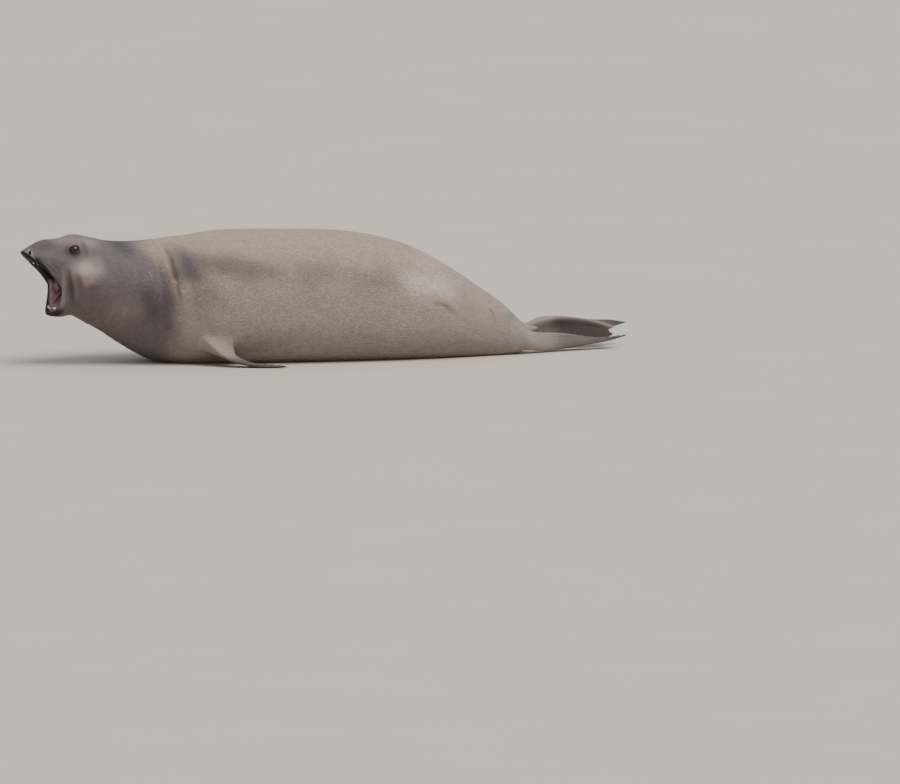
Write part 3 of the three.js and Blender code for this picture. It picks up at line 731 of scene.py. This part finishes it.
def newMaterial(name, **inputs):
    # a material and its tree, with the constant values set on the shader's own sockets
    material = bpy.data.materials.new(name)
    material.use_nodes = True
    shader = material.node_tree.nodes["Principled BSDF"]
    for socket, value in inputs.items():
        shader.inputs[socket.replace("_", " ")].default_value = value
    return material, material.node_tree, shader


def makePiece(name, points, faceArrays, *looks, replaced=(), finish="hide"):
    # faceArrays are arrays of triangles or quads, as vertex numbers
    mesh = bpy.data.meshes.new(name)
    sizes = np.concatenate([np.full(len(f), f.shape[1]) for f in faceArrays])
    corners = np.concatenate([f.ravel() for f in faceArrays])
    mesh.vertices.add(len(points))
    mesh.loops.add(len(corners))
    mesh.polygons.add(len(sizes))
    mesh.vertices.foreach_set("co", np.asarray(points, np.float32).ravel())
    mesh.loops.foreach_set("vertex_index", corners.astype(np.int32))
    mesh.polygons.foreach_set("loop_start", (np.cumsum(sizes) - sizes).astype(np.int32))
    mesh.update(calc_edges=True)
    mesh.shade_smooth()
    for look in looks:
        mesh.materials.append(look)
    piece = bpy.data.objects.new(name, mesh)
    bpy.context.scene.collection.objects.link(piece)
    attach(piece, "root")
    if replaced:
        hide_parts(*replaced)
    return piece


def paint(piece, name, values):
    mesh = piece.data
    if values.ndim == 2:
        layer = mesh.attributes.new(name, "FLOAT_COLOR", "POINT")
        rgba = np.concatenate([values, np.ones((len(values), 1))], 1)
        layer.data.foreach_set("color", rgba.astype(np.float32).ravel())
    else:
        layer = mesh.attributes.new(name, "FLOAT", "POINT")
        layer.data.foreach_set("value", values.astype(np.float32))


# Hide of a seal: leathery skin under dense, stiff hair that lies flat, dull when dry and glossy where wet.
# Real hairs are 0.1 mm thick, too fine to show, so the streaks are drawn 2 mm apart. Sizes in millimetres
hide = {"streak": 2.2, "streakLong": 16, "mottle": 30, "pore": 4.2, "unevenTone": 0.14}


def mottledColour(tree, coords):
    # the markings, made lighter and darker by patches and by streaks along the hair
    marks = addNode(tree, "Attribute", attribute_name="markings")
    mottle = addNode(tree, "TexNoise", {"Vector": coords},
                     {"Scale": 1000 / hide["mottle"], "Detail": 5, "Roughness": 0.62})
    stretch = addNode(tree, "Mapping", {"Vector": coords},
                      {"Scale": (hide["streak"] / hide["streakLong"], 1, 1)})
    streak = addNode(tree, "TexNoise", {"Vector": stretch.outputs[0]},
                     {"Scale": 1000 / hide["streak"], "Detail": 2})
    both = addNode(tree, "Math", {0: mottle.outputs[0], 1: streak.outputs[0]}, operation="ADD")
    level = addNode(tree, "MapRange", {"Value": both.outputs[0]}, {
        "From Min": 0.7, "From Max": 1.3, "To Min": 1 - hide["unevenTone"], "To Max": 1 + hide["unevenTone"]})
    tinted = addNode(tree, "VectorMath", {0: marks.outputs["Color"], 1: level.outputs[0]},
                     operation="MULTIPLY")
    return tinted.outputs[0], streak.outputs[0]


def hideMaterial():
    material, tree, shader = newMaterial(
        "sealHide", Sheen_Weight=0.05, Sheen_Roughness=0.5, Specular_IOR_Level=0.25)
    coords = addNode(tree, "TexCoord").outputs["Object"]
    colour, streak = mottledColour(tree, coords)
    wet = addNode(tree, "Attribute", attribute_name="wet").outputs["Fac"]
    rough = addNode(tree, "MapRange", {"Value": wet}, {"To Min": 0.82, "To Max": 0.32})
    pores = addNode(tree, "TexVoronoi", {"Vector": coords}, {"Scale": 1000 / hide["pore"]})
    grain = addNode(tree, "Bump", {"Height": pores.outputs["Distance"]},
                    {"Strength": 0.25, "Distance": 0.0008})
    hairs = addNode(tree, "Bump", {"Height": streak, "Normal": grain.outputs[0]},
                    {"Strength": 0.6, "Distance": 0.0015})
    tree.links.new(colour, shader.inputs["Base Color"])
    tree.links.new(rough.outputs[0], shader.inputs["Roughness"])
    tree.links.new(hairs.outputs[0], shader.inputs["Normal"])
    return material


# Lining of the mouth: wet mucous skin, soft, with blotches 14 mm across and low waves 57 mm long
def liningMaterial():
    material, tree, shader = newMaterial(
        "mouthLining", Roughness=0.5, Specular_IOR_Level=0.12, Subsurface_Weight=0.1)
    coords = addNode(tree, "TexCoord").outputs["Object"]
    marks = addNode(tree, "Attribute", attribute_name="markings")
    blotch = addNode(tree, "TexNoise", {"Vector": coords}, {"Scale": 1000 / 14, "Detail": 4})
    level = addNode(tree, "MapRange", {"Value": blotch.outputs[0]},
                    {"From Min": 0.3, "From Max": 0.7, "To Min": 0.7, "To Max": 1.3})
    tinted = addNode(tree, "VectorMath", {0: marks.outputs["Color"], 1: level.outputs[0]},
                     operation="MULTIPLY")
    waves = addNode(tree, "TexWave", {"Vector": coords},
                    {"Scale": math.pi / 10 / (56.55 * mm), "Distortion": 3, "Detail": 2}, bands_direction="Z")
    bump = addNode(tree, "Bump", {"Height": waves.outputs[1]}, {"Strength": 0.5, "Distance": 0.0015})
    tree.links.new(tinted.outputs[0], shader.inputs["Base Color"])
    tree.links.new(bump.outputs[0], shader.inputs["Normal"])
    return material


print("skin: mesh")
skinPiece = makePiece(
    "skin", skin["place"], faces, hideMaterial(), liningMaterial(),
    replaced=["head", "lower_jaw", "neck", "trunk", "tail", "fore_flipper_left", "fore_flipper_right",
              "hind_flipper_left", "hind_flipper_right"])
paint(skinPiece, "markings", skin["colour"])
paint(skinPiece, "wet", skin["wet"])
bodyLoops = np.zeros(len(renumber))
bodyLoops[:rowCount * colCount] = loopGrid.ravel()
faceLoops = np.concatenate([bodyLoops[used][f].min(1) for f in faces])
skinPiece.data.polygons.foreach_set("material_index", (faceLoops > mouth["liningFrom"]).astype(np.int32))

print("eyes")


def eyeMaterial():
    # Cornea and iris: a very dark brown iris round a wide pupil, under a wet clear surface
    material, tree, shader = newMaterial(
        "eyeBall", Roughness=0.1, Specular_IOR_Level=0.2, Coat_Weight=1.0, Coat_Roughness=0.03, Coat_IOR=1.42)
    fromPole = addNode(tree, "Attribute", attribute_name="fromPole")
    coords = addNode(tree, "TexCoord").outputs["Object"]
    fibres = addNode(tree, "TexNoise", {"Vector": coords}, {"Scale": 400, "Detail": 3})
    uneven = addNode(tree, "Math", {0: fibres.outputs[0]}, {1: 0.12}, operation="MULTIPLY")
    where = addNode(tree, "Math", {0: fromPole.outputs["Fac"], 1: uneven.outputs[0]}, operation="ADD")
    ramp = addNode(tree, "ValToRGB", {"Fac": where.outputs[0]})
    stops = [(0.0, "050404"), (0.36, "070505"), (0.44, "241712"), (0.7, "1b120f"), (0.85, "2e2622")]
    while len(ramp.color_ramp.elements) < len(stops):
        ramp.color_ramp.elements.new(0.5)
    for element, (place, text) in zip(ramp.color_ramp.elements, stops):
        element.position = place
        element.color = (*linear(text), 1)
    tree.links.new(ramp.outputs[0], shader.inputs["Base Color"])
    return material


def closedGrid(rows, cols):
    # quads of a grid that closes round its columns, and the fans over its two ends at vertices -2 and -1
    index = np.arange(rows * cols).reshape(rows, cols)
    after = np.roll(index, -1, 1)
    quads = np.stack([index[:-1], index[1:], after[1:], after[:-1]], -1).reshape(-1, 4)
    ends = [np.stack([index[0], after[0], np.full(cols, rows * cols)], 1),
            np.stack([after[-1], index[-1], np.full(cols, rows * cols + 1)], 1)]
    return quads, np.concatenate(ends)


def frameAlong(direction):
    direction = unit(np.asarray(direction, float))
    aside = unit(np.cross(direction, (0.31, -0.2, 0.93)))
    return aside, np.cross(direction, aside), direction


def eyePiece(name, hand, node, look):
    # a ball with a slight bulge of the cornea, turned to look out of the opening
    ball, n = eyeBalls[hand]
    rows, cols, radius = eye["ballRows"], eye["ballCols"], eye["radius"] - eye["slack"]
    polar = np.linspace(0, np.pi, rows + 2)[1:-1, None]
    around = np.linspace(0, 2 * np.pi, cols, endpoint=False)[None]
    aside, up, n = frameAlong(n)
    reach = radius + eye["cornea"] * np.exp(-((polar / eye["corneaWide"]) ** 4))
    across = reach * np.sin(polar)
    outward = n * (reach * np.cos(polar) + 0 * around)[..., None]
    sideways = aside * (across * np.cos(around))[..., None] + up * (across * np.sin(around))[..., None]
    points = outward + sideways
    points = (ball + points).reshape(-1, 3)
    points = np.vstack([points, ball + n * (radius + eye["cornea"]), ball - n * radius])
    quads, fans = closedGrid(rows, cols)
    flipped = [quads[:, ::-1], fans[:, ::-1]]
    piece = makePiece(name, turnHead(points), flipped, look, replaced=[node], finish="eye")
    turned = np.concatenate([np.repeat(polar.ravel(), cols), [0, np.pi]])
    paint(piece, "fromPole", turned / 1.2)


eyeLook = eyeMaterial()
eyePiece("eyeLeft", 1, "eye_left", eyeLook)
eyePiece("eyeRight", -1, "eye_right", eyeLook)


def tubes(paths, radii, sides, flat=1.0):
    # many closed tubes of one size of grid: paths is tubes x points x 3, radii tubes x points. flat is the
    # thickness across over the width
    count, length = radii.shape
    ahead = unit(np.gradient(paths, axis=1))
    aside = unit(np.cross(ahead, (0.11, 0.17, 0.98)))
    up = np.cross(ahead, aside)
    turn = 2 * np.pi * np.arange(sides) / sides
    ring = aside[:, :, None] * np.cos(turn)[:, None] + up[:, :, None] * (np.sin(turn) * flat)[:, None]
    walls = (paths[:, :, None] + ring * radii[:, :, None, None]).reshape(count, -1, 3)
    first, last = paths[:, 0] - ahead[:, 0] * radii[:, :1] * 0.5, paths[:, -1] + ahead[:, -1] * radii[:, -1:]
    tips = np.stack([first, last], 1)
    points = np.concatenate([walls, tips], 1)
    quads, fans = closedGrid(length, sides)
    shift = (np.arange(count) * points.shape[1])[:, None, None]
    return points.reshape(-1, 3), [(quads[None] + shift).reshape(-1, 4), (fans[None] + shift).reshape(-1, 3)]


print("teeth, tongue, claws and whiskers")


def plainMaterial(name, tint, dark, size, bumpDepth, **inputs):
    # blotches of a darker tone, size millimetres across, that are also its relief
    material, tree, shader = newMaterial(name, **inputs)
    coords = addNode(tree, "TexCoord").outputs["Object"]
    blotch = addNode(tree, "TexNoise", {"Vector": coords}, {"Scale": 1000 / size, "Detail": 5})
    ramp = addNode(tree, "ValToRGB", {"Fac": blotch.outputs[0]})
    ramp.color_ramp.elements[0].position, ramp.color_ramp.elements[1].position = 0.35, 0.65
    ramp.color_ramp.elements[0].color = (*linear(dark), 1)
    ramp.color_ramp.elements[1].color = (*linear(tint), 1)
    bump = addNode(tree, "Bump", {"Height": blotch.outputs[0]}, {"Strength": 0.6, "Distance": bumpDepth})
    tree.links.new(ramp.outputs[0], shader.inputs["Base Color"])
    tree.links.new(bump.outputs[0], shader.inputs["Normal"])
    return material


# Enamel of worn teeth: ivory and smooth, with faint darker blotches
enamel = plainMaterial("toothEnamel", "f6f3ec", "e2d9c6", 9, 0.0003, Roughness=0.25, Subsurface_Weight=0.1)
# Flesh of the tongue: mauve, wet, with fine papillae 3 mm apart
tongueFlesh = plainMaterial(
    "tongueFlesh", "84606a", "63454c", 3, 0.0009, Roughness=0.34, Subsurface_Weight=0.2)
# Horn of the claws: brown-black keratin with a dull polish
horn = plainMaterial("clawHorn", "4a3c33", "231c18", 5, 0.0003, Roughness=0.38)
# Keratin of the whiskers: stiff, smooth and amber to brown
keratin = plainMaterial("whiskerKeratin", "8a7458", "5c4a38", 12, 0.0001, Roughness=0.35)

teeth = {
    "canines": [  # forward, side, height of the middle | lean | length, radius
        (1338, 28, 523, (0.25, 0, -0.97), 15, 5.5),
        (1241, 36, 284, (0.85, 0, 0.53), 33, 9.0),
    ],
    "pegTurns": [2.95, 2.15], "pegLoop": 27.6, "pegLength": 9, "pegRadius": 3.2,  # small teeth of the jaw
}


def toothRows():
    # curved cones: the radius swells a little over the gum and closes to a blunt tip
    u = np.linspace(0, 1, 9)
    paths, radii = [], []
    for f, side, h, lean, length, radius in teeth["canines"]:
        for hand in (1, -1):
            way = unit(np.array(lean, float))
            back = np.array([-0.25 * abs(way[2]), 0, 0.2 * abs(way[0])])
            at = np.array([f, hand * side, h])
            paths.append(at + way * ((u - 0.35) * length)[:, None] + back * (u**2 * length * 0.5)[:, None])
            radii.append(radius * np.sqrt(np.clip(1 - u**2.4, 0.02, 1)))
    for turn in teeth["pegTurns"]:
        for hand in (1, -1):
            foot, n = standAt(teeth["pegLoop"], hand * turn)
            paths.append(foot + n * ((u - 0.35) * teeth["pegLength"])[:, None])
            radii.append(teeth["pegRadius"] * np.sqrt(np.clip(1 - u**2.2, 0.02, 1)))
    return turnHead(np.array(paths)), np.array(radii) * mm


makePiece("teeth", *tubes(*toothRows(), 12), enamel, finish="tongue")

tongue = {
    "spine": [(1150, 0, 380), (1190, 0, 372), (1226, 0, 346), (1246, 0, 314)],
    "halfWidth": 33, "halfThick": 14, "groove": 4.5, "grooveHalf": 5, "rows": 44, "cols": 40,
}


def tonguePiece():
    # an ellipse carried along the spine, narrower to the tip, with a groove down the middle of its top
    t = np.linspace(0, 1, tongue["rows"])
    spine = np.array(tongue["spine"], float)
    centre = throughRows(spine, t * (len(spine) - 1))
    ahead = unit(np.gradient(centre, axis=0))
    up = np.cross(ahead, (0, 1, 0))
    up = up * np.sign(up[:, 2:])
    size = np.sqrt(1 - np.abs(2 * t - 1) ** 6 * 0.97)
    turn = 2 * np.pi * np.arange(tongue["cols"]) / tongue["cols"]
    wide = tongue["halfWidth"] * (size * (1 - 0.35 * t))[:, None] * np.sin(turn)
    thick = tongue["halfThick"] * size[:, None] * np.cos(turn)
    top = 0.16 * np.abs(wide) - tongue["groove"] * bell(wide, 0, tongue["grooveHalf"])
    thick = thick + np.where(thick > 0, top, 0) * size[:, None]
    points = centre[:, None] + wide[..., None] * np.array([0, 1, 0]) + up[:, None] * thick[..., None]
    points = np.vstack([points.reshape(-1, 3), centre[:1], centre[-1:]])
    quads, fans = closedGrid(tongue["rows"], tongue["cols"])
    makePiece("tongue", turnHead(points), [quads, fans], tongueFlesh, replaced=["tongue"], finish="tongue")


tonguePiece()

claws = {"length": 34, "radius": 5.2, "drop": 7}


def clawPiece():
    # on the upper face at the end of each fore digit: a flattened cone that curves down to its point
    u = np.linspace(0, 1, 8)
    paths = []
    for name in ("foreLeft", "foreRight"):
        for digit in np.array(flippers[name]["digits"], float):
            way = unit(digit[-1] - digit[-2])
            path = digit[-1] + way * ((u * claws["length"] - 20)[:, None]) + (0, 0, 4)
            path[:, 2] = np.maximum(path[:, 2] - claws["drop"] * u**2, 1.5)
            paths.append(path * mm)
    radii = claws["radius"] * np.clip(1 - u**1.8, 0.12, 1) * mm
    radii = np.tile(radii, (len(paths), 1))
    paths = np.array(paths)
    paths[..., 2] = np.maximum(paths[..., 2], radii * 0.7 + 0.0004)
    makePiece("claws", *tubes(paths, radii, 10, flat=0.65), horn, finish="flipper")


clawPiece()

whiskers = {
    "rows": [  # from loop, turn | to loop, turn | how many
        (24.6, 0.5, 24.05, 1.0, 6),
        (24.35, 0.47, 23.8, 0.93, 6),
        (24.1, 0.46, 23.5, 0.85, 5),
        (23.8, 0.46, 23.2, 0.78, 4),
    ],
    "brows": [(21.9, 0.42), (22.05, 0.48), (21.8, 0.5)],
    "length": (40, 95), "radius": 0.65,
}


def whiskerPiece():
    # stiff tapered hairs that leave the lip outwards and a little back, and droop in an arc
    spots = [spot for a, b, c, d, count in whiskers["rows"] for spot in np.linspace((a, b), (c, d), count)]
    spots += whiskers["brows"]
    u = np.linspace(0, 1, 9)[:, None]
    paths, radii = [], []
    for hand in (1, -1):
        for loop, turn in spots:
            turn = hand * (turn + rng.uniform(-0.02, 0.02))
            foot, n = standAt(loop, turn)
            length = rng.uniform(*whiskers["length"]) * (0.55 if loop < 23 else 1.0)
            way = unit(n + np.array([-0.35, 0, -0.35]) + rng.uniform(-0.14, 0.14, 3))
            droop = np.array([-0.12, 0, -0.3]) * rng.uniform(0.5, 1.2)
            paths.append(foot - n * 2 + way * length * u + droop * length * u**2)
            radii.append(whiskers["radius"] * (1 - 0.8 * u[:, 0]))
    makePiece("whiskers", *tubes(turnHead(np.array(paths)), np.array(radii) * mm, 5), keratin, finish="hide")


whiskerPiece()

# Coat of a seal: short stiff hairs, clumped in fine wisps that lie back along the body, dull with a faint
# sheen. Each wisp is a four-sided sliver, so it stands for a clump of hairs
coat = {
    "cover": 0.62,  # area of the wisps over the area of the skin
    "slim": 0.15,  # width over length
    "lift": (0.06, 0.16),  # height of the tip over the length
    "sink": 0.5, "ridge": 0.085,  # root under the skin in mm; crest at a third, over the length
    "stray": 0.22,  # sideways wander of the hair's lie
    "roundness": 0.55,  # how far the normals at the root turn to the sides
    "tone": 0.07,  # how much one wisp is lighter or darker than the next
    "unwrapSize": 0.0015,  # half of a wisp's patch
    "borders": [-1.12, -0.78, -0.35, 0.05, 0.5, 0.95],  # world x between the pieces
    "names": ["coatHead", "coatNeck", "coatShoulders", "coatChest", "coatBack", "coatLoins", "coatRump"],
}


def coatMaterial():
    material, tree, shader = newMaterial("sealHair", Roughness=0.7, Sheen_Weight=0.2, Sheen_Roughness=0.45)
    coords = addNode(tree, "TexCoord").outputs["Object"]
    colour, _ = mottledColour(tree, coords)
    tree.links.new(colour, shader.inputs["Base Color"])
    return material


def growCoat():
    # roots are spread evenly by area over triangles that carry hair; a wisp has two corners at its root, a
    # crest and a tip
    tris = [f if f.shape[1] == 3 else np.concatenate([f[:, :3], f[:, [0, 2, 3]]]) for f in faces]
    tris = np.concatenate(tris)
    tris = tris[skin["hair"][tris].min(1) > 0.5]
    a, b, c = (skin["place"][tris[:, k]] for k in range(3))
    normal = np.cross(b - a, c - a)
    area = np.linalg.norm(normal, axis=1) / 2
    vertexNormal = np.zeros_like(skin["place"])
    for k in range(3):
        np.add.at(vertexNormal, tris[:, k], normal)
    vertexNormal = unit(vertexNormal)
    length = skin["hair"][tris].mean(1) * mm
    share = np.cumsum(area * coat["cover"] / (length**2 * coat["slim"] / 2))
    count = int(share[-1])
    pick = np.searchsorted(share, (np.arange(count) + rng.random(count)) / count * share[-1])
    pick = np.minimum(pick, len(tris) - 1)
    r1, r2 = np.sqrt(rng.random(count)), rng.random(count)
    weights = np.stack([1 - r1, r1 * (1 - r2), r1 * r2], 1)
    at = lambda values: (values[tris[pick]] * weights[..., None]).sum(1)
    root, n, lie, colour = at(skin["place"]), unit(at(vertexNormal)), at(skin["lie"]), at(skin["colour"])
    unwrap = skin["unwrap"][tris[pick, np.argmax(weights, 1)]]
    size = length[pick] * rng.uniform(0.75, 1.25, count)
    lie = lie - n * (lie * n).sum(1)[:, None]
    side = unit(np.cross(n, lie))
    lie = unit(unit(lie) + side * rng.normal(0, coat["stray"], count)[:, None])
    side = np.cross(n, lie)
    half = size * coat["slim"] / 2
    lift = size * rng.uniform(*coat["lift"], count)
    rootHeight = -coat["sink"] * mm
    corners = np.stack([
        root - side * half[:, None] + n * rootHeight,
        root + side * half[:, None] + n * rootHeight,
        root + lie * (size * 0.35)[:, None] + n * (size * coat["ridge"])[:, None],
        root + lie * size[:, None] + n * lift[:, None],
    ], 1)
    corners[..., 2] = np.maximum(corners[..., 2], 0.0004)
    tilts = (-side * coat["roundness"], side * coat["roundness"], -lie * 0.1, lie * 0.25)
    shade = np.stack([unit(n + tilt) for tilt in tilts], 1)
    colour = colour * rng.uniform(1 - coat["tone"], 1 + coat["tone"], count)[:, None]
    patch = np.array([(-1, -1), (1, -1), (0, 0.2), (0, 1)]) * coat["unwrapSize"]
    return corners, shade, colour, np.clip(unwrap[:, None] + patch, 0.0005, 0.9995), unwrap


def coatPieces():
    corners, shade, colour, unwrap, corner = growCoat()
    region = np.searchsorted(coat["borders"], corners[:, 0, 0])
    names = coat["names"] + ["coatFlippers"]
    region = np.where(corner[:, 0] > 0.8, len(names) - 1, region)
    sliver = np.array([(0, 2, 1), (0, 1, 3), (1, 2, 3), (0, 3, 2)])
    look = coatMaterial()
    for k, name in enumerate(names):
        own = region == k
        count = int(own.sum())
        tris = (sliver[None] + 4 * np.arange(count)[:, None, None]).reshape(-1, 3)
        piece = makePiece(name, corners[own].reshape(-1, 3), [tris], look)
        paint(piece, "markings", np.repeat(colour[own], 4, 0))
        layer = piece.data.uv_layers.new(name="OFBake")
        layer.data.foreach_set("uv", unwrap[own].reshape(-1, 2)[tris.ravel()].astype(np.float32).ravel())
        piece.data.normals_split_custom_set_from_vertices(shade[own].reshape(-1, 3))
        print(" ", name, 4 * count, "triangles")


print("coat")
coatPieces()

print("floor, lights and camera")
studio = {
    "floorHalf": 120.0, "floorHeight": -0.0005, "floorTint": "cdc4b8", "floorDark": "c7beb1",
    "sunHeight": math.radians(62), "sunFromLeft": math.radians(38),  # over the horizon; round to the right
    "sunSoftness": math.radians(40), "sunStrength": 2.7, "sunTint": "fffaf3",
    "world": "e6e9ec", "worldStrength": 0.76,
}


def floorPiece():
    # one square, a hair's breadth under the seal
    half, low = studio["floorHalf"], studio["floorHeight"]
    mesh = bpy.data.meshes.new("floor")
    mesh.from_pydata([(-half, -half, low), (half, -half, low), (half, half, low), (-half, half, low)],
                     [], [(0, 1, 2, 3)])
    # Studio floor of matte painted board
    material, tree, shader = newMaterial("paintedFloor", Roughness=0.9)
    coords = addNode(tree, "TexCoord").outputs["Object"]
    cloud = addNode(tree, "TexNoise", {"Vector": coords}, {"Scale": 1.2, "Detail": 6})
    ramp = addNode(tree, "ValToRGB", {"Fac": cloud.outputs[0]})
    ramp.color_ramp.elements[0].color = (*linear(studio["floorDark"]), 1)
    ramp.color_ramp.elements[1].color = (*linear(studio["floorTint"]), 1)
    tree.links.new(ramp.outputs[0], shader.inputs["Base Color"])
    mesh.materials.append(material)
    floor = bpy.data.objects.new("floor", mesh)
    bpy.context.scene.collection.objects.link(floor)


def addLights():
    light = bpy.data.lights.new("softSun", "SUN")
    light.angle = studio["sunSoftness"]
    light.energy = studio["sunStrength"]
    light.color = linear(studio["sunTint"])
    rise, turn = studio["sunHeight"], studio["sunFromLeft"]
    way = np.array([math.sin(turn) * math.cos(rise), -math.cos(turn) * math.cos(rise), math.sin(rise)])
    lamp = bpy.data.objects.new("softSun", light)
    lamp.rotation_euler = aimed(way, np.zeros(3))
    bpy.context.scene.collection.objects.link(lamp)
    sky = bpy.data.worlds.new("studio")
    sky.use_nodes = True
    background = sky.node_tree.nodes["Background"]
    background.inputs["Color"].default_value = (*linear(studio["world"]), 1)
    background.inputs["Strength"].default_value = studio["worldStrength"]
    bpy.context.scene.world = sky


def aimed(place, target):
    # turns a lamp's or camera's -z towards the target with its top up
    back = unit(place - target)
    right = unit(np.cross((0, 0, 1), back))
    up = np.cross(back, right)
    return Matrix([(right[k], up[k], back[k]) for k in range(3)]).to_euler()


camera = {
    # 200 pixels to the metre at the seal, seen from nearly side on and a little above
    "right": np.array([0.978, -0.208, 0.0]), "towards": np.array([-0.208, -0.978, 0.0]),
    "aimRight": 0.7995, "aimTowards": 1.522, "distance": 78.79, "rise": math.radians(6.5), "lens": 640,
}


def addCamera():
    aim = camera["right"] * camera["aimRight"] + camera["towards"] * camera["aimTowards"]
    back = camera["towards"] * math.cos(camera["rise"]) + np.array([0, 0, 1]) * math.sin(camera["rise"])
    made = bpy.data.cameras.new("camera")
    made.lens = camera["lens"]
    made.sensor_width = 36
    made.clip_end = 1000
    holder = bpy.data.objects.new("camera", made)
    holder.location = aim + back * camera["distance"]
    holder.rotation_euler = aimed(np.array(holder.location), aim)
    bpy.context.scene.collection.objects.link(holder)
    bpy.context.scene.camera = holder


floorPiece()
addLights()
addCamera()
